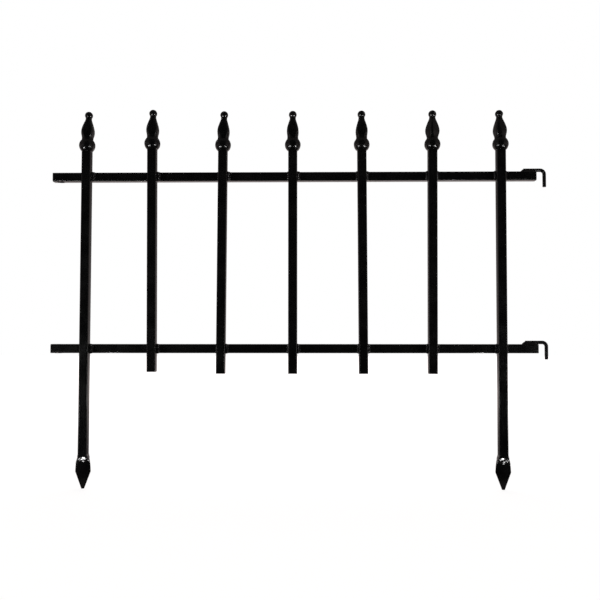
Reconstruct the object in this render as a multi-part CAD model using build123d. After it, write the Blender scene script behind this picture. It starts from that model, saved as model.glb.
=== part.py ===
from build123d import *
import os

# A welded panel of steel garden border edging: seven square-tube pickets on two square-tube
# rails. Each picket carries a cast finial. The two end pickets run on below the others and
# are pressed flat into ground spikes. A bent wire hook at the right end of each rail drops
# through the hole at the left end of the next panel's rail.
# The front of the panel faces -Y, +X runs along it to the right and +Z is up. The pickets'
# axes lie in the plane Y = 0, with the rails behind them. The origin is the centre of the
# middle picket's foot, at the level that the ground comes up to.

# Driving dimensions, in millimetres

# Square tube of the pickets and of the rails
PICKET_WIDTH = 11.2
PICKET_WALL = 0.8
PICKET_CORNER = 1.5
RAIL_WIDTH = 11.2
RAIL_WALL = 0.8
RAIL_CORNER = 1.5

# Places of the pickets and rails
PICKET_COUNT = 7
PICKET_TOP = 278.6
RAIL_LENGTH = 609.6
RAIL_LEFT_END = 44.5
RAIL_RIGHT_END = 45.9
LOWER_RAIL_HEIGHT = 30.6
UPPER_RAIL_HEIGHT = 247.4

# Ground spike, pressed from the end picket's own tube
SPIKE_DEPTH = 141.7
SPIKE_WIDTH = 18.8
SPIKE_THICKNESS = 2.6
SPIKE_POINT_LENGTH = 21.0
SPIKE_POINT_WIDTH = 3.0
PRESS_LENGTH = 21.5
PRESS_NOSE = 11.3
PRESS_SHOULDER_WIDTH = 17.6
SPIKE_EDGE = 0.6

# Cast finial, from the ball on the tube to the small ball at the tip
BALL_DIAMETER = 19.8
BALL_SEAT = 7.2
BULB_ROOT_WIDTH = 13.0
WAIST_RISE = 9.2
WAIST_WIDTH = 13.6
BULB_RISE = 7.4
BULB_WIDTH = 14.7
SHOULDER_RISE = 9.0
SHOULDER_WIDTH = 11.5
NECK_RISE = 7.6
NECK_WIDTH = 7.6
TIP_RISE = 4.8
TIP_DIAMETER = 9.8
BULB_CORNER = 3.6
SHOULDER_CORNER = 3.1
NECK_CORNER = 3.6
SPIGOT_LENGTH = 12.0
SPIGOT_CLEARANCE = 0.15

# The pickets were spaced and welded by hand. By picket number: how far its foot stands along the
# rails from its even place, how far one was set too high, the lean to the right at its top, in
# degrees, and the turn and the lean of a finial that isn't square or upright on its picket
PICKET_SHIFTS = {1: 0.3, 2: -2.1, 3: -2.8, 5: 1.1, 7: -0.9}
PICKET_RISES = {2: 2.2}
PICKET_LEANS = {1: 0.12, 2: -0.28, 3: 0.36, 5: -0.27, 6: 0.29, 7: 0.12}
FINIAL_TURNS = {6: 33.0, 7: 12.0}
FINIAL_LEANS = {1: 2.6, 2: 1.6, 3: 1.7, 7: -2.3}

# Coupling of one panel to the next: a wire hook on the right, a hole on the left
HOOK_WIRE = 4.4
HOOK_REACH = 11.2
HOOK_BEND_RADIUS = 5.2
HOOK_DROP = 23.5
HOOK_LAP = 15.0
HOOK_END_ROUNDING = 0.5
COUPLING_CLEARANCE = 1.9
COUPLING_SETBACK = 9.0

# Weld beads
RIGHT_BEAD = 4.4
LEFT_BEAD = 2.4
BEAD_OVERRUN = 0.8
HOOK_WELD_WIDTH = 7.6
HOOK_WELD_RAMP = 4.5
HOOK_WELD_CREST = 3.0
HOOK_WELD_CREST_HEIGHT = 4.0
HOOK_WELD_HEIGHT = 2.6
HOOK_WELD_END_GAP = 1.0
HOOK_WELD_EDGE = 1.2

# Largest share of a width that the rounding of its corners may take
CORNER_RATIO = 0.48

# Sizes that follow from the ones above
middle_picket = (PICKET_COUNT + 1) // 2
rail_front = PICKET_WIDTH / 2
rail_depth = rail_front + RAIL_WIDTH / 2
picket_pitch = (RAIL_LENGTH - RAIL_LEFT_END - RAIL_RIGHT_END) / (PICKET_COUNT - 1)
first_picket_x = (1 - middle_picket) * picket_pitch
rail_left = first_picket_x - RAIL_LEFT_END
rail_right = rail_left + RAIL_LENGTH
ball_height = PICKET_TOP + BALL_SEAT
bulb_height = WAIST_RISE + BULB_RISE
shoulder_height = bulb_height + SHOULDER_RISE
neck_height = shoulder_height + NECK_RISE
hook_x = rail_right + HOOK_REACH
press_end = -SPIKE_DEPTH + SPIKE_POINT_LENGTH
press_start = press_end + PRESS_LENGTH
press_nose = press_start - PRESS_NOSE


def picket_foot(number):
    """Place and lean of a picket at its foot, counted from 1 at the left."""
    x = (number - middle_picket) * picket_pitch + PICKET_SHIFTS.get(number, 0)
    return Pos(x, 0, PICKET_RISES.get(number, 0)) * Rot(0, PICKET_LEANS.get(number, 0), 0)


def rounded_rectangle(width, depth, corner):
    """Rectangle whose rounded corners never meet."""
    return RectangleRounded(width, depth, min(corner, CORNER_RATIO * min(width, depth)))


def square_tube(width, wall, corner, length):
    """Hollow square tube along Z from the origin, with rounded corners inside and out."""
    bore = width - 2 * wall
    outside = rounded_rectangle(width, width, corner)
    inside = rounded_rectangle(bore, bore, max(corner - wall, wall / 4))
    return extrude(outside - inside, amount=length)


def rail(height):
    """One rail, with the coupling hole through its top and bottom walls at the left end."""
    tube = Rot(0, 90, 0) * square_tube(RAIL_WIDTH, RAIL_WALL, RAIL_CORNER, RAIL_LENGTH)
    hole = Pos(COUPLING_SETBACK, 0, 0) * Cylinder(HOOK_WIRE / 2 + COUPLING_CLEARANCE, 2 * RAIL_WIDTH)
    return Pos(rail_left, rail_depth, height) * (tube - hole)


def short_picket():
    """Picket that ends square at ground level."""
    return square_tube(PICKET_WIDTH, PICKET_WALL, PICKET_CORNER, PICKET_TOP)


def spike_blade():
    """Flat end of the spike: it widens a little and then runs to a blunt point."""
    outline = Polyline(
        (-PRESS_SHOULDER_WIDTH / 2, press_nose),
        (-SPIKE_WIDTH / 2, press_end),
        (-SPIKE_POINT_WIDTH / 2, -SPIKE_DEPTH),
        (SPIKE_POINT_WIDTH / 2, -SPIKE_DEPTH),
        (SPIKE_WIDTH / 2, press_end),
        (PRESS_SHOULDER_WIDTH / 2, press_nose),
        close=True,
    )
    blade = extrude(Plane.XZ * make_face(outline), amount=SPIKE_THICKNESS / 2, both=True)
    rims = blade.edges().filter_by(lambda edge: abs(edge.center().Y) > SPIKE_THICKNESS / 4)
    return chamfer(rims.filter_by(lambda edge: edge.center().Z < press_nose - SPIKE_EDGE), SPIKE_EDGE)


def pressed_shoulder():
    """Where the square tube is pressed flat: its front and back slope in and its sides spread."""
    top = Pos(0, 0, press_start) * rounded_rectangle(PICKET_WIDTH, PICKET_WIDTH, PICKET_CORNER)
    flat_outline = rounded_rectangle(PRESS_SHOULDER_WIDTH, SPIKE_THICKNESS, SPIKE_THICKNESS)
    flat = Pos(0, 0, press_nose) * flat_outline
    return loft([top.face(), flat.face()], ruled=True)


def end_picket():
    """Picket with a ground spike: the tube, the pressed shoulder and the flat blade are one piece."""
    tube = square_tube(PICKET_WIDTH, PICKET_WALL, PICKET_CORNER, PICKET_TOP - press_start)
    return Pos(0, 0, press_start) * tube + pressed_shoulder() + spike_blade()


def bulb():
    """Four-sided pear between the finial's ball and its tip, lofted through rounded squares."""
    sections = (
        (WAIST_RISE / 2, BULB_ROOT_WIDTH, BULB_CORNER),
        (WAIST_RISE, WAIST_WIDTH, BULB_CORNER),
        (bulb_height, BULB_WIDTH, BULB_CORNER),
        (shoulder_height, SHOULDER_WIDTH, SHOULDER_CORNER),
        (neck_height, NECK_WIDTH, NECK_CORNER),
    )
    outlines = []
    for height, width, corner in sections:
        outline = Pos(0, 0, height) * rounded_rectangle(width, width, corner)
        outlines.append(outline.face())
    stem = Pos(0, 0, neck_height) * rounded_rectangle(NECK_WIDTH, NECK_WIDTH, NECK_CORNER)
    return loft(outlines) + extrude(stem, amount=TIP_RISE)


def finial(number):
    """One casting: ball, four-sided bulb and tip, with a spigot that stands in the tube."""
    below = 2 * BALL_DIAMETER
    seat = Pos(0, 0, -BALL_SEAT - below / 2) * Box(below, below, below)
    tip = Pos(0, 0, neck_height + TIP_RISE) * Sphere(TIP_DIAMETER / 2)
    spigot_width = PICKET_WIDTH - 2 * PICKET_WALL - 2 * SPIGOT_CLEARANCE
    spigot_outline = rounded_rectangle(spigot_width, spigot_width, PICKET_CORNER)
    spigot = Pos(0, 0, -BALL_SEAT - SPIGOT_LENGTH) * extrude(spigot_outline, amount=SPIGOT_LENGTH)
    set_by_hand = Rot(0, FINIAL_LEANS.get(number, 0), 0) * Rot(0, 0, FINIAL_TURNS.get(number, 0))
    return set_by_hand * (Sphere(BALL_DIAMETER / 2) + bulb() + tip) - seat + spigot


def hook_wire(height):
    """Round wire that lies on the rail's top, runs past its end and turns down."""
    wire_axis = height + RAIL_WIDTH / 2 + HOOK_WIRE / 2
    leg_end = wire_axis + HOOK_WIRE / 2 - HOOK_DROP
    start = (rail_right - HOOK_LAP, rail_depth, wire_axis)
    corner = (hook_x, rail_depth, wire_axis)
    end = (hook_x, rail_depth, leg_end)
    route = FilletPolyline(start, corner, end, radius=HOOK_BEND_RADIUS)
    return sweep(Plane(origin=start, z_dir=(1, 0, 0)) * Circle(HOOK_WIRE / 2), path=route)


def hook(height):
    """Hook with its two cut ends broken slightly round."""
    wire = hook_wire(height)
    ends = wire.edges().filter_by(GeomType.CIRCLE).filter_by(lambda edge: edge.is_closed)
    rims = [edge for edge in ends if edge.center().X < rail_right or edge.center().Z < height]
    return fillet(rims, HOOK_END_ROUNDING)


def hook_weld(height):
    """Weld that beds the hook on the rail: a ramp, a crest over the wire's end, and a low run."""
    base = height + RAIL_WIDTH / 2
    start = rail_right - HOOK_LAP
    end = rail_right - HOOK_WELD_END_GAP
    outline = Polyline(
        (start - HOOK_WELD_RAMP, base),
        (start, base + HOOK_WELD_CREST_HEIGHT),
        (start + HOOK_WELD_CREST, base + HOOK_WELD_CREST_HEIGHT),
        (start + 2 * HOOK_WELD_CREST, base + HOOK_WELD_HEIGHT),
        (end, base + HOOK_WELD_HEIGHT),
        (end, base),
        close=True,
    )
    middle = Plane.XZ.offset(-rail_depth)
    mound = extrude(middle * make_face(outline), amount=HOOK_WELD_WIDTH / 2, both=True)
    rims = mound.edges().filter_by(lambda edge: abs(edge.center().Y - rail_depth) > HOOK_WELD_WIDTH / 4)
    shoulders = rims.filter_by(Axis.Z, reverse=True).filter_by(lambda edge: edge.center().Z > base)
    return chamfer(shoulders, HOOK_WELD_EDGE) - hook_wire(height)


def side_bead(number, height, side):
    """Bead in the corner between a picket's side and the rail's front face."""
    leg = RIGHT_BEAD if side > 0 else LEFT_BEAD
    straight = RAIL_WIDTH + 2 * BEAD_OVERRUN - 2 * leg
    capsule = Cylinder(leg, straight) + Pos(0, 0, straight / 2) * Sphere(leg)
    capsule += Pos(0, 0, -straight / 2) * Sphere(leg)
    corner_box = Pos(side * leg, -leg, 0) * Box(2 * leg, 2 * leg, 2 * RAIL_WIDTH)
    bead = capsule & corner_box
    crossing = height - PICKET_RISES.get(number, 0)
    return picket_foot(number) * Pos(side * PICKET_WIDTH / 2, rail_front, crossing) * bead


def picket_welds(height):
    """The beads that hold every picket to one rail."""
    beads = []
    for number in range(1, PICKET_COUNT + 1):
        for side in (-1, 1):
            beads.append(side_bead(number, height, side).solid())
    return Compound(beads)


nodes = {}
rails = {"top": UPPER_RAIL_HEIGHT, "bottom": LOWER_RAIL_HEIGHT}
for name, height in rails.items():
    nodes[f"rail_{name}"] = rail(height)
    nodes[f"hook_{name}"] = hook(height)
    nodes[f"hook_weld_{name}"] = hook_weld(height)
    nodes[f"picket_welds_{name}"] = picket_welds(height)

for number in range(1, PICKET_COUNT + 1):
    at_end = number in (1, PICKET_COUNT)
    picket = end_picket() if at_end else short_picket()
    nodes[f"picket_{number}"] = picket_foot(number) * picket
    nodes[f"finial_{number}"] = picket_foot(number) * Pos(0, 0, ball_height) * finial(number)

os.makedirs("parts", exist_ok=True)
for name, shape in nodes.items():
    export_step(shape, f"parts/{name}.step")
    print(name, len(shape.solids()), "solids", round(shape.volume, 1), "cubic millimetres")
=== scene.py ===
# %% [markdown]
# A panel of steel garden border edging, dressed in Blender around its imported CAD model.
# The real thing is square tube and cast finials under one thick coat of black gloss paint. It
# reads as a dark line drawing on white, so what makes it look real is how its edges, corners and
# castings catch the light. The CAD nodes whose shape is already right stay and get a better
# finish. The castings, the pressed spikes and the welds are modelled again with softer forms.

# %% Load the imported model
import bpy
import bmesh
import math
from mathutils import Matrix, Vector


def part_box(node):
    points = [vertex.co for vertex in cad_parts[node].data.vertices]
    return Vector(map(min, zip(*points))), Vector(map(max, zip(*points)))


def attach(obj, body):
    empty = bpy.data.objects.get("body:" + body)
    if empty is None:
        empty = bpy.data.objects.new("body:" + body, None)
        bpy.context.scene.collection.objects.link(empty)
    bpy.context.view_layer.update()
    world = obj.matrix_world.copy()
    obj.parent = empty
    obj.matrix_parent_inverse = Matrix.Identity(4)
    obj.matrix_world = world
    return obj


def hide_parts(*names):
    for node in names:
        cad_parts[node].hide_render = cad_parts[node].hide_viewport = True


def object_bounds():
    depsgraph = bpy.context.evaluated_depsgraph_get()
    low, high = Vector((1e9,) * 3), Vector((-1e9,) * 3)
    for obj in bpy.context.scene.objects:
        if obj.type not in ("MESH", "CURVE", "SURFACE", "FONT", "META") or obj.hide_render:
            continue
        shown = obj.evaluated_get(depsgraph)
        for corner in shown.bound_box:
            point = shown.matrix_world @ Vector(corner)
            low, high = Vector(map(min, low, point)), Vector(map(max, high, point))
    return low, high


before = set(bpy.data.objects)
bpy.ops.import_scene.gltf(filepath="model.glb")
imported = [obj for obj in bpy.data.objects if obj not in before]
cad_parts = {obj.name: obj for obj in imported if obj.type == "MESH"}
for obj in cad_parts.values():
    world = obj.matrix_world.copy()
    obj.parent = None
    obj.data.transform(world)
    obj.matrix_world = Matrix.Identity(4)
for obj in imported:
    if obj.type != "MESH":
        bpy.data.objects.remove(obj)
cad_low, cad_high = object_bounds()
MM = 0.001
GROUND = cad_low.z
print("the CAD model spans", [round(side / MM, 1) for side in cad_high - cad_low], "mm")

# %% [markdown]
# The photograph was taken from a little above ground level, just right of the middle picket.
# That is why the underside of the upper rail shows, and the inner sides of the outer pickets.
# A lens of about 43 mm on a 36 mm sensor gives the right spread of those sides.

# %% Camera
LENS = 43.13
SENSOR = 36.0
EYE = Vector((22.2, -892.9, 57.9)) * MM
PITCH = 0.0373
YAW = 0.0147

camera_data = bpy.data.cameras.new("photo_camera")
camera_data.lens = LENS
camera_data.sensor_width = SENSOR
camera = bpy.data.objects.new("photo_camera", camera_data)
camera.location = EYE
camera.rotation_euler = (math.pi / 2 + PITCH, 0, YAW)
bpy.context.scene.collection.objects.link(camera)
bpy.context.scene.camera = camera
bpy.context.scene.view_settings.view_transform = "Standard"
print("camera", round(-EYE.y / MM), "mm in front of the pickets")

# %% [markdown]
# Gloss black shows only what it reflects, so the studio matters as much as the paint. The
# world and the floor are white to the camera. In the paint's reflections the room is a dim,
# faintly warm grey: dark overhead, lighter towards the horizon and lightest just below it, which
# is what the side faces in the photograph show.

# %% World
SOFT_LIGHT = 0.75
WARMTH = (1.0, 0.88, 0.86)
# Direction looked in, from straight down (0) to straight up (1), and its grey
ROOM_STOPS = ((0.0, 0.45), (0.42, 0.55), (0.5, 0.27), (0.62, 0.12), (1.0, 0.05))

world = bpy.data.worlds.new("white_studio")
bpy.context.scene.world = world
world.use_nodes = True
nodes = world.node_tree.nodes
links = world.node_tree.links
nodes.clear()

direction = nodes.new("ShaderNodeTexCoord")
height = nodes.new("ShaderNodeSeparateXYZ")
half_height = nodes.new("ShaderNodeMath")
half_height.operation = "MULTIPLY_ADD"
half_height.inputs[1].default_value = 0.5
half_height.inputs[2].default_value = 0.5
room = nodes.new("ShaderNodeValToRGB")
room_ramp = room.color_ramp
for index, (place, grey) in enumerate(ROOM_STOPS):
    stop = room_ramp.elements[index] if index < 2 else room_ramp.elements.new(place)
    stop.position = place
    stop.color = (*(grey * part for part in WARMTH), 1)
links.new(direction.outputs["Generated"], height.inputs[0])
links.new(height.outputs["Z"], half_height.inputs[0])
links.new(half_height.outputs[0], room.inputs[0])

path = nodes.new("ShaderNodeLightPath")
soft_light = nodes.new("ShaderNodeBackground")
soft_light.inputs["Color"].default_value = (1, 1, 1, 1)
soft_light.inputs["Strength"].default_value = SOFT_LIGHT
white = nodes.new("ShaderNodeBackground")
white.inputs["Color"].default_value = (1, 1, 1, 1)
reflected_room = nodes.new("ShaderNodeBackground")
links.new(room.outputs["Color"], reflected_room.inputs["Color"])
clear_or_gloss = nodes.new("ShaderNodeMath")
clear_or_gloss.operation = "MAXIMUM"
links.new(path.outputs["Is Glossy Ray"], clear_or_gloss.inputs[0])
links.new(path.outputs["Is Transmission Ray"], clear_or_gloss.inputs[1])
to_gloss = nodes.new("ShaderNodeMixShader")
links.new(clear_or_gloss.outputs[0], to_gloss.inputs[0])
links.new(soft_light.outputs[0], to_gloss.inputs[1])
links.new(reflected_room.outputs[0], to_gloss.inputs[2])
to_camera = nodes.new("ShaderNodeMixShader")
links.new(path.outputs["Is Camera Ray"], to_camera.inputs[0])
links.new(to_gloss.outputs[0], to_camera.inputs[1])
links.new(white.outputs[0], to_camera.inputs[2])
world_output = nodes.new("ShaderNodeOutputWorld")
links.new(to_camera.outputs[0], world_output.inputs[0])
print("the room is seen in the paint at", [grey for _, grey in ROOM_STOPS])

# %% [markdown]
# The panel stands on the tips of its two spikes, on a pale floor. The floor glows in the
# camera's own rays, so that it comes out white, and still darkens where the panel shades it. Its
# own colour gets paler with distance, because the undersides of the rails mirror the far part
# and the sides of the legs mirror the near part, which is darker in the photograph.

# %% Floor
FLOOR_SIZE = 4.0
FLOOR_GAP = 0.2 * MM
FLOOR_GLOW = 0.90
# How far behind the panel in metres, and how pale the floor is there
FLOOR_NEAR = (0.25, 0.12)
FLOOR_FAR = (1.3, 0.60)


def mesh_object(name, mesh_build):
    """Turns a finished bmesh into a mesh object in the scene."""
    mesh = bpy.data.meshes.new(name)
    mesh_build.to_mesh(mesh)
    mesh_build.free()
    made = bpy.data.objects.new(name, mesh)
    bpy.context.scene.collection.objects.link(made)
    return made


floor_build = bmesh.new()
under = Matrix.Translation((0, 0, GROUND - FLOOR_GAP))
bmesh.ops.create_grid(floor_build, x_segments=2, y_segments=2, size=FLOOR_SIZE, matrix=under)
floor = mesh_object("floor", floor_build)
floor_paint = bpy.data.materials.new("pale_floor")
floor_paint.use_nodes = True
nodes = floor_paint.node_tree.nodes
links = floor_paint.node_tree.links
nodes.clear()
floor_place = nodes.new("ShaderNodeTexCoord")
floor_distance = nodes.new("ShaderNodeSeparateXYZ")
links.new(floor_place.outputs["Object"], floor_distance.inputs[0])
floor_pale = nodes.new("ShaderNodeMapRange")
floor_pale.inputs["From Min"].default_value = FLOOR_NEAR[0]
floor_pale.inputs["From Max"].default_value = FLOOR_FAR[0]
floor_pale.inputs["To Min"].default_value = FLOOR_NEAR[1]
floor_pale.inputs["To Max"].default_value = FLOOR_FAR[1]
links.new(floor_distance.outputs["Y"], floor_pale.inputs["Value"])
floor_tint = nodes.new("ShaderNodeVectorMath")
floor_tint.operation = "MULTIPLY"
floor_tint.inputs[1].default_value = WARMTH
links.new(floor_pale.outputs["Result"], floor_tint.inputs[0])
floor_diffuse = nodes.new("ShaderNodeBsdfDiffuse")
links.new(floor_tint.outputs[0], floor_diffuse.inputs["Color"])
floor_path = nodes.new("ShaderNodeLightPath")
floor_glow = nodes.new("ShaderNodeEmission")
glow_strength = nodes.new("ShaderNodeMath")
glow_strength.operation = "MULTIPLY"
glow_strength.inputs[1].default_value = FLOOR_GLOW
links.new(floor_path.outputs["Is Camera Ray"], glow_strength.inputs[0])
links.new(glow_strength.outputs[0], floor_glow.inputs["Strength"])
floor_sum = nodes.new("ShaderNodeAddShader")
floor_output = nodes.new("ShaderNodeOutputMaterial")
links.new(floor_diffuse.outputs[0], floor_sum.inputs[0])
links.new(floor_glow.outputs[0], floor_sum.inputs[1])
links.new(floor_sum.outputs[0], floor_output.inputs[0])
floor.data.materials.append(floor_paint)
print("floor at", round(GROUND / MM, 1), "mm")

# %% [markdown]
# A photographer keeps the front of a black gloss thing black by putting dark cards where its
# flat faces would mirror the room. One card lies on the floor in front of the panel and turns up
# behind the camera. Only reflections see it.

# %% Dark card
CARD_HALF_WIDTH = 1.1
CARD_NEAR = -0.045
CARD_FAR = -1.15
CARD_TOP = 2.2
CARD_LIFT = 1 * MM

card_build = bmesh.new()
card_edge = []
for side in (-1, 1):
    place = (side * CARD_HALF_WIDTH, CARD_NEAR, GROUND + CARD_LIFT)
    card_edge.append(bmesh.ops.create_vert(card_build, co=place)["vert"][0])
last = [card_build.edges.new(card_edge)]
for step in (Vector((0, CARD_FAR - CARD_NEAR, 0)), Vector((0, 0, CARD_TOP - GROUND))):
    grown = bmesh.ops.extrude_edge_only(card_build, edges=last)["geom"]
    corners = [part for part in grown if isinstance(part, bmesh.types.BMVert)]
    bmesh.ops.translate(card_build, verts=corners, vec=step)
    last = [edge for edge in card_build.edges if edge.verts[0] in corners and edge.verts[1] in corners]
card = mesh_object("dark_card", card_build)
card_paint = bpy.data.materials.new("dark_card")
card_paint.use_nodes = True
card_shader = card_paint.node_tree.nodes["Principled BSDF"]
card_shader.inputs["Base Color"].default_value = (0, 0, 0, 1)
card_shader.inputs["Specular IOR Level"].default_value = 0
card.data.materials.append(card_paint)
card.visible_camera = False
card.visible_diffuse = False
card.visible_shadow = False
card.visible_transmission = False
print("the dark card is", CARD_HALF_WIDTH * 2, "m wide")

# %% [markdown]
# A broad lamp overhead gives the floor its soft shadow. Two long low lamps left and right of the
# camera put the pair of small sparks on every ball. A small lamp lies on the floor just in front
# of each spike and shines up: only the steps of the dent, which face down and forward, mirror it,
# and they are the brightest spots in the photograph.

# %% Lamps
SPIKE_LAMP_X = 0.2732
SPIKE_LAMP_Y = -0.023
SPIKE_LAMP_SIZE = (0.011, 0.020)
SPIKE_LAMP_POWER = 0.020
FLOOR_LAMP_LIFT = 3 * MM
spike_lamp_z = GROUND + FLOOR_LAMP_LIFT
# Name, place, what it points at, width and height, power, spread in degrees, and the kind of ray
# that sees it
LAMPS = (
    ("overhead", (0, 1.0, 1.6), (0, 0.6, 0), (1.6, 1.2), 18.0, 180, "diffuse"),
    ("low_left", (-0.56, -0.50, -0.12), (0, 0, 0.30), (0.5, 0.05), 0.30, 60, "glossy"),
    ("low_right", (0.56, -0.50, -0.12), (0, 0, 0.30), (0.5, 0.05), 0.30, 60, "glossy"),
    ("spike_left", (-SPIKE_LAMP_X, SPIKE_LAMP_Y, spike_lamp_z), (-SPIKE_LAMP_X, SPIKE_LAMP_Y, 1),
     SPIKE_LAMP_SIZE, SPIKE_LAMP_POWER, 100, "glossy"),
    ("spike_right", (SPIKE_LAMP_X, SPIKE_LAMP_Y, spike_lamp_z), (SPIKE_LAMP_X, SPIKE_LAMP_Y, 1),
     SPIKE_LAMP_SIZE, SPIKE_LAMP_POWER, 100, "glossy"),
)
for name, place, target, size, power, spread, seen_by in LAMPS:
    lamp_data = bpy.data.lights.new(name, "AREA")
    lamp_data.shape = "RECTANGLE"
    lamp_data.size = size[0]
    lamp_data.size_y = size[1]
    lamp_data.energy = power
    lamp_data.spread = math.radians(spread)
    lamp = bpy.data.objects.new(name, lamp_data)
    lamp.location = place
    aim = Vector(target) - Vector(place)
    lamp.rotation_euler = aim.to_track_quat("-Z", "Y").to_euler()
    lamp.visible_camera = False
    lamp.visible_diffuse = seen_by == "diffuse"
    lamp.visible_glossy = seen_by == "glossy"
    bpy.context.scene.collection.objects.link(lamp)
    print("lamp", name, power, "W")

# %% [markdown]
# The paint is a thick black gloss over drawn steel and rough castings. Up close such paint is
# never one flat tone: it has an orange-peel ripple, slow waves from the metal below, thinner and
# duller spots and a little dust. Noise on Object coordinates gives those, because it stays put
# when the part is turned and needs no picture. One recipe makes all four finishes, from the
# smooth tube to the lumpy welds.

# %% The gloss black coat
BLACK = 0.0026
BLACK_WORN = 0.0044
COAT_WEIGHT = 0.25
COAT_ROUGHNESS = 0.08
PAINT_IOR = 1.5
DUST_SCALE = 2600
# Parts of a noise's range over which the shade, the roughness and the dust change
SHADE_RANGE = (0.35, 0.75)
ROUGH_RANGE = (0.3, 0.7)
DUST_RANGE = (0.62, 0.75)
# Fresh paint is faintly blue and worn paint faintly brown
FRESH_TINT = (1.0, 1.0, 1.04)
WORN_TINT = (1.0, 0.96, 0.94)


def noise(made, scale, detail):
    """Noise on a material's Object coordinates, in cells a metre."""
    nodes = made.node_tree.nodes
    place = nodes.new("ShaderNodeTexCoord")
    grain = nodes.new("ShaderNodeTexNoise")
    grain.inputs["Scale"].default_value = scale
    grain.inputs["Detail"].default_value = detail
    made.node_tree.links.new(place.outputs["Object"], grain.inputs["Vector"])
    return grain.outputs["Fac"]


def spread_over(made, value, part, low, high):
    """Spreads part of a noise's range over a range of its own."""
    spread = made.node_tree.nodes.new("ShaderNodeMapRange")
    spread.inputs["From Min"].default_value = part[0]
    spread.inputs["From Max"].default_value = part[1]
    spread.inputs["To Min"].default_value = low
    spread.inputs["To Max"].default_value = high
    made.node_tree.links.new(value, spread.inputs["Value"])
    return spread.outputs["Result"]


def coat(name, rough, rough_spread, peel, peel_scale, wave, wave_scale, dust):
    """Black gloss paint. Scales are in cells a metre, depths in metres."""
    made = bpy.data.materials.new(name)
    made.use_nodes = True
    nodes = made.node_tree.nodes
    links = made.node_tree.links
    shader = nodes["Principled BSDF"]
    shader.inputs["IOR"].default_value = PAINT_IOR
    shader.inputs["Coat Weight"].default_value = COAT_WEIGHT
    shader.inputs["Coat Roughness"].default_value = COAT_ROUGHNESS
    fine = noise(made, peel_scale, 3)
    broad = noise(made, wave_scale, 2)
    specks = noise(made, DUST_SCALE, 2)

    shade = nodes.new("ShaderNodeValToRGB")
    blacks = ((BLACK, FRESH_TINT), (BLACK_WORN, WORN_TINT))
    for stop, place, (black, tint) in zip(shade.color_ramp.elements, SHADE_RANGE, blacks):
        stop.position = place
        stop.color = (*(black * part for part in tint), 1)
    links.new(broad, shade.inputs["Fac"])
    links.new(shade.outputs["Color"], shader.inputs["Base Color"])

    rough_sum = nodes.new("ShaderNodeMath")
    rough_sum.operation = "ADD"
    worn = spread_over(made, broad, ROUGH_RANGE, rough, rough + rough_spread)
    dusty = spread_over(made, specks, DUST_RANGE, 0, dust)
    links.new(worn, rough_sum.inputs[0])
    links.new(dusty, rough_sum.inputs[1])
    links.new(rough_sum.outputs[0], shader.inputs["Roughness"])

    waves = nodes.new("ShaderNodeBump")
    waves.inputs["Distance"].default_value = wave
    links.new(broad, waves.inputs["Height"])
    ripple = nodes.new("ShaderNodeBump")
    ripple.inputs["Distance"].default_value = peel
    links.new(fine, ripple.inputs["Height"])
    links.new(waves.outputs["Normal"], ripple.inputs["Normal"])
    links.new(ripple.outputs["Normal"], shader.inputs["Normal"])
    print("coat", name, "roughness from", rough)
    return made


# Roughness and its spread, ripple and its scale, waves and their scale, and dust
tube_coat = coat("tube_gloss_coat", 0.17, 0.08, 0.010 * MM, 900, 0.05 * MM, 60, 0.10)
casting_coat = coat("casting_gloss_coat", 0.15, 0.10, 0.012 * MM, 1100, 0.07 * MM, 180, 0.12)
wire_coat = coat("wire_gloss_coat", 0.20, 0.10, 0.012 * MM, 1200, 0.06 * MM, 140, 0.12)
weld_coat = coat("weld_gloss_coat", 0.26, 0.14, 0.030 * MM, 1500, 0.20 * MM, 320, 0.18)

# %% [markdown]
# The rails, the short pickets and the hooks are plain tube and wire, which the CAD model already
# has at their real size, with open ends, wall thickness and bends. They keep their meshes, and
# only their finish changes, because a copy could only be less exact.

# %% Rails, short pickets and hooks keep their CAD shape
PICKETS = range(1, 8)
END_PICKETS = (1, 7)
# Angle in degrees past which an edge of a new piece stays sharp
CASTING_EDGE = 40
TUBE_EDGE = 32
WELD_EDGE = 60

kept = {
    "rail_top": (tube_coat, "tube_coating"),
    "rail_bottom": (tube_coat, "tube_coating"),
    "hook_top": (wire_coat, "wire_coating"),
    "hook_bottom": (wire_coat, "wire_coating"),
}
for number in PICKETS:
    if number not in END_PICKETS:
        kept[f"picket_{number}"] = (tube_coat, "tube_coating")
for name, (material, finish) in kept.items():
    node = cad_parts[name]
    for slot in node.material_slots:
        slot.material = material
print(len(kept), "CAD nodes keep their shape")


def dress(piece, material, node, angle):
    """Finishes a new piece: smooth faces, sharp past the angle, its paint, and what it replaces."""
    for face in piece.data.polygons:
        face.use_smooth = True
    piece.data.set_sharp_from_angle(angle=math.radians(angle))
    piece.data.materials.append(material)
    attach(piece, "root")
    if node:
        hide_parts(node)


# %% [markdown]
# Each finial is one casting: a ball that sits on the tube, then a four-sided pear drawn in at the
# neck, and a small ball on top. It could be turned on a lathe, but the pear is square in section
# with soft corners. So the casting is a loft: rounded square outlines at many heights, bridged
# one to the next. An outline whose corners take nearly half its width is as good as a circle.

# %% Outline and loft helpers
CORNER_STEPS = 6
ROUND = 0.49


def outline(build, width, depth, corner, height):
    """A closed rounded rectangle of edges at a height."""
    place = Matrix.Translation((0, 0, height)) @ Matrix.Rotation(math.pi / 4, 4, "Z")
    ring = bmesh.ops.create_circle(build, segments=4, radius=math.sqrt(0.5), matrix=place)["verts"]
    bmesh.ops.scale(build, verts=ring, vec=(width, depth, 1))
    bevelled = bmesh.ops.bevel(
        build, geom=ring, offset=corner, offset_type="OFFSET", segments=CORNER_STEPS,
        profile=0.5, affect="VERTICES", material=-1,
    )
    corners = set(bevelled["verts"])
    return [edge for edge in build.edges if edge.verts[0] in corners and edge.verts[1] in corners]


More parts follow.
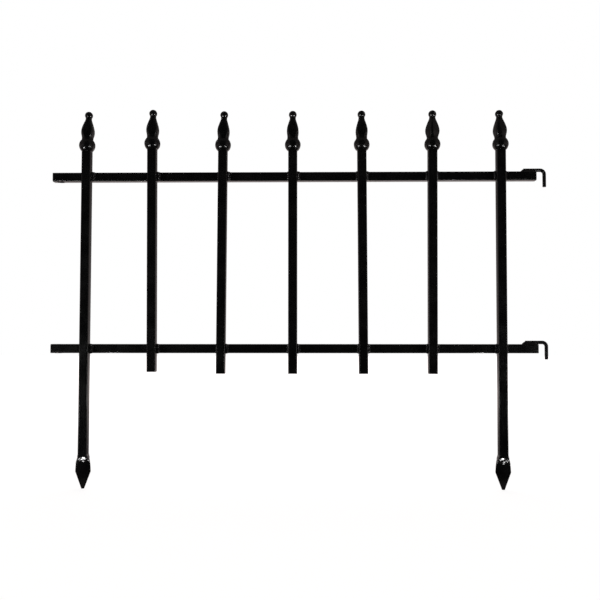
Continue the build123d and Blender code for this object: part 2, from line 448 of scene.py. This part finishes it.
def loft(build, sections):
    """Bridges outlines of (width, depth, corner, height) in turn and gives back all the rings."""
    rings = [outline(build, *section) for section in sections]
    for lower, upper in zip(rings, rings[1:]):
        bmesh.ops.bridge_loops(build, edges=lower + upper)
    return rings


def close_ring(build, ring, place):
    """Draws a ring of edges together into one point."""
    corners = list({corner for edge in ring for corner in edge.verts})
    bmesh.ops.pointmerge(build, verts=corners, merge_co=place)


def cut_off(build, place, outward):
    """Cuts away what lies beyond a plane and gives back the edges of the cut."""
    everything = list(build.verts) + list(build.edges) + list(build.faces)
    cut = bmesh.ops.bisect_plane(
        build, geom=everything, plane_co=place, plane_no=outward, clear_outer=True,
    )
    return [part for part in cut["geom_cut"] if isinstance(part, bmesh.types.BMEdge)]


def extrude_ring(build, ring, step):
    """Carries a ring of edges straight along by a step."""
    grown = bmesh.ops.extrude_edge_only(build, edges=ring)["geom"]
    moved = [part for part in grown if isinstance(part, bmesh.types.BMVert)]
    bmesh.ops.translate(build, verts=moved, vec=step)


def set_down(build, place):
    """Turns millimetres into metres and moves a finished build to its place in millimetres."""
    bmesh.ops.scale(build, verts=build.verts, vec=(MM, MM, MM))
    bmesh.ops.translate(build, verts=build.verts, vec=Vector(place) * MM)
    bmesh.ops.recalc_face_normals(build, faces=build.faces)


# %% [markdown]
# The pickets were welded by hand, so most lean a little, and so do the castings on them. A CAD
# box gives a finial's ball exactly, because the ball is its widest part, and the leans are
# copied from the CAD model.

# %% Where the pickets stand
PICKET_LEANS = {1: 0.12, 2: -0.28, 3: 0.36, 5: -0.27, 6: 0.29, 7: 0.12}
BALL_SEAT = 7.2
SPIGOT_LENGTH = 12.0


def leaning(degrees):
    """A lean to the right at the top, for a build that stands on its own origin."""
    return Matrix.Rotation(math.radians(degrees), 3, "Y")


def ball_centre(number):
    """Centre of a finial's ball in millimetres."""
    low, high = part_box(f"finial_{number}")
    return Vector(((low.x + high.x) / 2, 0, low.z + (SPIGOT_LENGTH + BALL_SEAT) * MM)) / MM


def picket_x(number, height):
    """X of a picket's axis in millimetres at a height."""
    ball = ball_centre(number)
    return ball.x - (ball.z - height) * math.tan(math.radians(PICKET_LEANS.get(number, 0)))


print("pickets stand at", [round(picket_x(number, 0), 1) for number in PICKETS])

# %% Profile of the finial
BALL_RADIUS = 9.9
BALL_CUT_ROOM = 0.8
BALL_NECK = 6.9
TIP_CENTRE = 38.0
TIP_RADIUS = 4.9
TIP_NECK = 3.75
TIP_LAST_TURN = 84
# Height above the ball's centre, width, and share of the width that a corner takes
PEAR = (
    (8.1, 13.7, 0.46),
    (9.4, 13.5, 0.42),
    (11.2, 13.7, 0.34),
    (13.8, 14.4, 0.27),
    (16.6, 14.7, 0.24),
    (19.6, 14.3, 0.24),
    (22.6, 13.1, 0.25),
    (25.6, 11.5, 0.27),
    (28.6, 9.7, 0.31),
    (31.0, 8.3, 0.38),
    (32.5, 7.6, 0.44),
)
BALL_TURNS = 11
TIP_TURNS = 12


def ball_rows(centre, radius, first, last, count):
    """Rows of a ball from one turn above its middle to another, in radians."""
    rows = []
    for step in range(count + 1):
        turn = first + (last - first) * step / count
        rows.append((centre + radius * math.sin(turn), 2 * radius * math.cos(turn), ROUND))
    return rows


ball_first = -math.asin((BALL_SEAT + BALL_CUT_ROOM) / BALL_RADIUS)
ball_last = math.asin(BALL_NECK / BALL_RADIUS)
tip_first = -math.acos(TIP_NECK / TIP_RADIUS)
finial_rows = ball_rows(0, BALL_RADIUS, ball_first, ball_last, BALL_TURNS)
finial_rows += PEAR
finial_rows += ball_rows(TIP_CENTRE, TIP_RADIUS, tip_first, math.radians(TIP_LAST_TURN), TIP_TURNS)
print(len(finial_rows), "outlines make a finial")

# %% [markdown]
# The castings were not all set square and upright on their tubes: in the photograph the sixth
# shows a corner, the seventh is a little off, and four of them lean. Each is turned and leaned
# about its ball and then cut off level, where it sits on the tube. It keeps a short square
# spigot, which stands in the tube and never shows.

# %% Cast the seven finials
FINIAL_TURNS = {6: 33.0, 7: 12.0}
FINIAL_LEANS = {1: 2.6, 2: 1.6, 3: 1.7, 7: -2.3}
SPIGOT_WIDTH = 9.3
SPIGOT_CORNER = 1.5

for number in PICKETS:
    build = bmesh.new()
    rings = loft(build, [(width, width, share * width, rise) for rise, width, share in finial_rows])
    close_ring(build, rings[-1], (0, 0, TIP_CENTRE + TIP_RADIUS))
    turn = Matrix.Rotation(math.radians(FINIAL_TURNS.get(number, 0)), 3, "Z")
    lean = leaning(FINIAL_LEANS.get(number, 0))
    bmesh.ops.rotate(build, verts=build.verts, cent=(0, 0, 0), matrix=lean @ turn)
    seat = cut_off(build, (0, 0, -BALL_SEAT), (0, 0, -1))
    spigot = outline(build, SPIGOT_WIDTH, SPIGOT_WIDTH, SPIGOT_CORNER, -BALL_SEAT)
    bmesh.ops.bridge_loops(build, edges=seat + spigot)
    extrude_ring(build, spigot, (0, 0, -SPIGOT_LENGTH))
    bmesh.ops.holes_fill(build, edges=build.edges, sides=0)
    lean = leaning(PICKET_LEANS.get(number, 0))
    bmesh.ops.rotate(build, verts=build.verts, cent=(0, 0, 0), matrix=lean)
    set_down(build, ball_centre(number))
    casting = mesh_object(f"finial_casting_{number}", build)
    dress(casting, casting_coat, f"finial_{number}", CASTING_EDGE)
print("the castings have", len(casting.data.polygons), "faces each")

# %% [markdown]
# An end picket is one length of tube. Its last forty millimetres are squeezed flat in a press and
# cut to a point. The sides spread, and the front and back walls go in by two steps: each step
# runs in an arc, and the two arcs bend opposite ways, so that together they make a round dent.
# A loft of rounded rectangles gives the outline, with its long sides cut into many points, and
# each point is then pushed in as deep as the two steps say.

# %% Shape of a pressed spike
TUBE = 11.2
TUBE_CORNER = 1.5
PRESS_START = -99.2
PRESS_END = -120.7
SPIKE_TIP = -141.7
BLADE_WIDTH = 18.8
BLADE_CORNER = 0.8
TIP_WIDTH = 3.0
WALL_POINTS = 14
ROW_STEP = 0.6
# Height and width of the tube where it spreads, above the blade
SPREAD_WIDTHS = ((-96.0, 11.2), (PRESS_START, 11.2), (-101.5, 12.2), (-104.5, 14.0), (-107.5, 15.9),
                 (-110.5, 17.2), (-113.0, 17.8))
# How deep a step goes in, how tall it is, and whether its ends bend up (1) or down (-1)
UPPER_STEP = (1.6, 3.6, -1)
LOWER_STEP = (2.7, 3.6, 1)
UPPER_STEP_HEIGHT = -103.4
# The spikes were pressed one at a time. By picket number: how far the dent is to the right of
# the middle, and the height of its lower step
DENTS = {1: (1.3, -107.4), 7: (-0.7, -108.8)}
# Rise of a step's arc for each square of the distance from its middle
STEP_BEND = 0.09
NEAR = 1e-3


def spread_width(height):
    """Width of the pressed tube at a height, in a straight line from one known width to the next."""
    for (upper, wide_above), (lower, wide_below) in zip(SPREAD_WIDTHS, SPREAD_WIDTHS[1:]):
        if lower <= height <= upper:
            return wide_above + (wide_below - wide_above) * (upper - height) / (upper - lower)
    return TUBE


def wall_depth(number, x, height):
    """How far the pressed wall of a picket is from its middle plane."""
    aside, lower_step_height = DENTS[number]
    depth = TUBE / 2
    for middle, step in ((UPPER_STEP_HEIGHT, UPPER_STEP), (lower_step_height, LOWER_STEP)):
        drop, tall, bend = step
        edge = middle + bend * STEP_BEND * (x - aside) ** 2
        share = min(1, max(0, (edge + tall / 2 - height) / tall))
        smooth_share = share * share * (3 - 2 * share)
        depth -= drop * smooth_share
    return depth


def level_edges(build, height):
    """The edges of the ring at a height."""
    return [edge for edge in build.edges if all(abs(end.co.z - height) < NEAR for end in edge.verts)]


print("the wall is pressed from", TUBE / 2, "to", round(wall_depth(1, 0, SPREAD_WIDTHS[-1][0]), 2), "mm")

# %% Press and cut the two end pickets
first_row = SPREAD_WIDTHS[0][0]
last_row = SPREAD_WIDTHS[-1][0]
row_count = round((first_row - last_row) / ROW_STEP)

for number in END_PICKETS:
    build = bmesh.new()
    rows = []
    for row in range(row_count + 1):
        height = first_row - row * (first_row - last_row) / row_count
        rows.append((spread_width(height), TUBE, TUBE_CORNER, height))
    rows.append((BLADE_WIDTH, TUBE, TUBE_CORNER, PRESS_END))
    rows.append((TIP_WIDTH, TUBE, BLADE_CORNER, SPIKE_TIP))
    for row in rows:
        outline(build, *row)
    along_x = TUBE - NEAR
    long_sides = []
    for edge in build.edges:
        if abs(sum(end.co.y for end in edge.verts)) > along_x:
            long_sides.append(edge)
    bmesh.ops.subdivide_edges(build, edges=long_sides, cuts=WALL_POINTS)
    rings = [level_edges(build, row[3]) for row in rows]
    for upper, lower in zip(rings, rings[1:]):
        bmesh.ops.bridge_loops(build, edges=upper + lower)
    for point in build.verts:
        point.co.y *= wall_depth(number, point.co.x, point.co.z) / (TUBE / 2)
    bmesh.ops.holes_fill(build, edges=rings[-1], sides=0)
    top = ball_centre(number).z - BALL_SEAT - first_row
    extrude_ring(build, rings[0], (0, 0, top))
    lean = leaning(PICKET_LEANS[number])
    bmesh.ops.rotate(build, verts=build.verts, cent=(0, 0, 0), matrix=lean)
    set_down(build, (picket_x(number, 0), 0, 0))
    picket = mesh_object(f"spiked_picket_{number}", build)
    dress(picket, tube_coat, f"picket_{number}", TUBE_EDGE)
print("spiked pickets have", len(picket.data.polygons), "faces each")

# %% [markdown]
# Every picket is welded to the front of both rails with a bead down each side, a fat one on
# the right and a thin one on the left. A hand-laid bead is a row of overlapping scales, so each
# is a round bar whose radius swells and shrinks along its length, cut off where it is buried.

# %% Weld beads
RAIL_WIDTH = 11.2
BEADS = ((1, 4.3), (-1, 2.3))
BEAD_OVERRUN = 0.75
BEAD_SCALES = 5
BEAD_STEPS = 30
BEAD_RIPPLE = 0.07
# A higher power makes the bead's ends blunter
BEAD_END_POWER = 6
BURIED = 0.9

rail_heights = {}
for rail_name in ("top", "bottom"):
    rail_low, rail_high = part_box(f"rail_{rail_name}")
    rail_heights[rail_name] = (rail_low.z + rail_high.z) / 2 / MM


def bead(side, radius):
    """One bead with its scales, beside a picket whose axis is X and Y zero."""
    build = bmesh.new()
    length = RAIL_WIDTH + 2 * BEAD_OVERRUN
    rows = []
    for step in range(1, BEAD_STEPS):
        along = step / BEAD_STEPS
        end_round = math.sqrt(1 - (2 * along - 1) ** BEAD_END_POWER)
        scale = 1 - BEAD_RIPPLE * (1 + math.cos(2 * math.pi * BEAD_SCALES * along))
        girth = 2 * radius * end_round * scale
        rows.append((girth, girth, ROUND * girth, (along - 0.5) * length))
    rings = loft(build, rows)
    close_ring(build, rings[0], (0, 0, -length / 2))
    close_ring(build, rings[-1], (0, 0, length / 2))
    bmesh.ops.translate(build, verts=build.verts, vec=(side * TUBE / 2, TUBE / 2, 0))
    cut_off(build, (side * (TUBE / 2 - BURIED), 0, 0), (-side, 0, 0))
    cut_off(build, (0, TUBE / 2 + BURIED / 2, 0), (0, 1, 0))
    bmesh.ops.holes_fill(build, edges=build.edges, sides=0)
    bmesh.ops.recalc_face_normals(build, faces=build.faces)
    return build


for rail_name, height in rail_heights.items():
    build = bmesh.new()
    for number in PICKETS:
        for side, radius in BEADS:
            one = bead(side, radius)
            bmesh.ops.translate(one, verts=one.verts, vec=(picket_x(number, height), 0, height))
            one_mesh = bpy.data.meshes.new("one_bead")
            one.to_mesh(one_mesh)
            one.free()
            build.from_mesh(one_mesh)
            bpy.data.meshes.remove(one_mesh)
    set_down(build, (0, 0, 0))
    beads = mesh_object(f"weld_beads_{rail_name}", build)
    dress(beads, weld_coat, f"picket_welds_{rail_name}", WELD_EDGE)
    print("beads on the", rail_name, "rail have", len(beads.data.polygons), "faces")

# %% [markdown]
# Each hook's wire lies on the end of its rail in a bed of weld. The weld starts as a ramp behind
# the wire's end, climbs over it and then runs low along both sides. It is a loft that lies on
# its side, with its lower half cut off just inside the rail.

# %% Hook welds
HOOK_LAP = 15.0
RAIL_DEPTH = 11.2
# Distance from the wire's end, width, and height above the rail
HOOK_WELD = (
    (-4.3, 2.4, 0.4),
    (-3.0, 4.9, 1.4),
    (-1.2, 6.5, 2.9),
    (0.6, 7.4, 3.9),
    (2.2, 7.5, 3.95),
    (4.0, 7.4, 3.3),
    (5.4, 7.1, 2.65),
    (7.0, 7.3, 2.5),
    (8.8, 7.0, 2.6),
    (10.4, 7.3, 2.45),
    (12.0, 6.9, 2.55),
    (13.2, 5.9, 1.9),
    (13.9, 3.2, 0.8),
)
WELD_END_ROOM = 0.12
WELD_SUNK = 0.3

for rail_name, height in rail_heights.items():
    build = bmesh.new()
    rows = [(2 * tall, width, ROUND * min(2 * tall, width), along) for along, width, tall in HOOK_WELD]
    rings = loft(build, rows)
    close_ring(build, rings[0], (0, 0, HOOK_WELD[0][0] - WELD_END_ROOM))
    close_ring(build, rings[-1], (0, 0, HOOK_WELD[-1][0] + WELD_END_ROOM))
    lay_along = Matrix.Rotation(math.pi / 2, 3, "Y")
    bmesh.ops.rotate(build, verts=build.verts, cent=(0, 0, 0), matrix=lay_along)
    cut_off(build, (0, 0, -WELD_SUNK), (0, 0, -1))
    bmesh.ops.holes_fill(build, edges=build.edges, sides=0)
    rail_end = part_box(f"rail_{rail_name}")[1].x / MM
    set_down(build, (rail_end - HOOK_LAP, RAIL_DEPTH, height + RAIL_WIDTH / 2))
    mound = mesh_object(f"hook_weld_bed_{rail_name}", build)
    dress(mound, weld_coat, f"hook_weld_{rail_name}", WELD_EDGE)
    print("weld bed on the", rail_name, "rail has", len(mound.data.polygons), "faces")

# %% [markdown]
# At its left end each rail has a hole for the next panel's hook. Its rim on the underside stands
# out a little and reaches over the rail's front corner. It is coloured a light grey, a painted
# highlight that stands in for the light the rail's underside and front corner mirror there, so
# that it shows as a light rim. The lip is one small profile spun round the hole, with that dull
# grey finish of its own.

# %% Painted highlight grey for the hole lips
# Painted highlight: this light grey stands in for the light that the rail's underside mirrors round the
# hole
LIP_HIGHLIGHT_GREY = 0.50
LIP_HIGHLIGHT_SPREAD = 0.5
LIP_ROUGHNESS = 0.55
LIP_HIGHLIGHT_SCALE = 900

lip_highlight_paint = bpy.data.materials.new("lip_painted_highlight")
lip_highlight_paint.use_nodes = True
lip_highlight_shader = lip_highlight_paint.node_tree.nodes["Principled BSDF"]
lip_highlight_shader.inputs["Roughness"].default_value = LIP_ROUGHNESS
lip_highlight_shade = lip_highlight_paint.node_tree.nodes.new("ShaderNodeValToRGB")
for stop, share in zip(lip_highlight_shade.color_ramp.elements, (LIP_HIGHLIGHT_SPREAD, 1)):
    stop.color = (*(LIP_HIGHLIGHT_GREY * share * part for part in WARMTH), 1)
lip_highlight_paint.node_tree.links.new(noise(lip_highlight_paint, LIP_HIGHLIGHT_SCALE, 3), lip_highlight_shade.inputs["Fac"])
lip_highlight_paint.node_tree.links.new(lip_highlight_shade.outputs["Color"], lip_highlight_shader.inputs["Base Color"])
print("lip painted highlight grey at", LIP_HIGHLIGHT_GREY)

# %% Lips of the coupling holes
HOLE_RADIUS = 4.1
COUPLING_SETBACK = 9.0
# Distance from the hole's edge and height over the rail's underside
LIP = ((0.02, -0.4), (0.02, 0.1), (0.3, 0.22), (0.8, 0.12), (1.2, -0.35), (1.56, -1.2), (1.1, -1.4))
LIP_STEPS = 64

for rail_name, height in rail_heights.items():
    build = bmesh.new()
    corners = []
    for out, rise in LIP:
        place = (HOLE_RADIUS + out, 0, -rise)
        corners.append(bmesh.ops.create_vert(build, co=place)["vert"][0])
    profile = [build.edges.new(pair) for pair in zip(corners, corners[1:] + corners[:1])]
    bmesh.ops.spin(
        build, geom=corners + profile, cent=(0, 0, 0), axis=(0, 0, 1), angle=2 * math.pi,
        steps=LIP_STEPS, use_merge=True,
    )
    bmesh.ops.remove_doubles(build, verts=build.verts, dist=NEAR)
    rail_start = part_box(f"rail_{rail_name}")[0].x / MM
    set_down(build, (rail_start + COUPLING_SETBACK, RAIL_DEPTH, height - RAIL_WIDTH / 2))
    lip = mesh_object(f"hole_lip_{rail_name}", build)
    dress(lip, lip_highlight_paint, None, WELD_EDGE)
    print("the lip under the", rail_name, "rail has", len(lip.data.polygons), "faces")
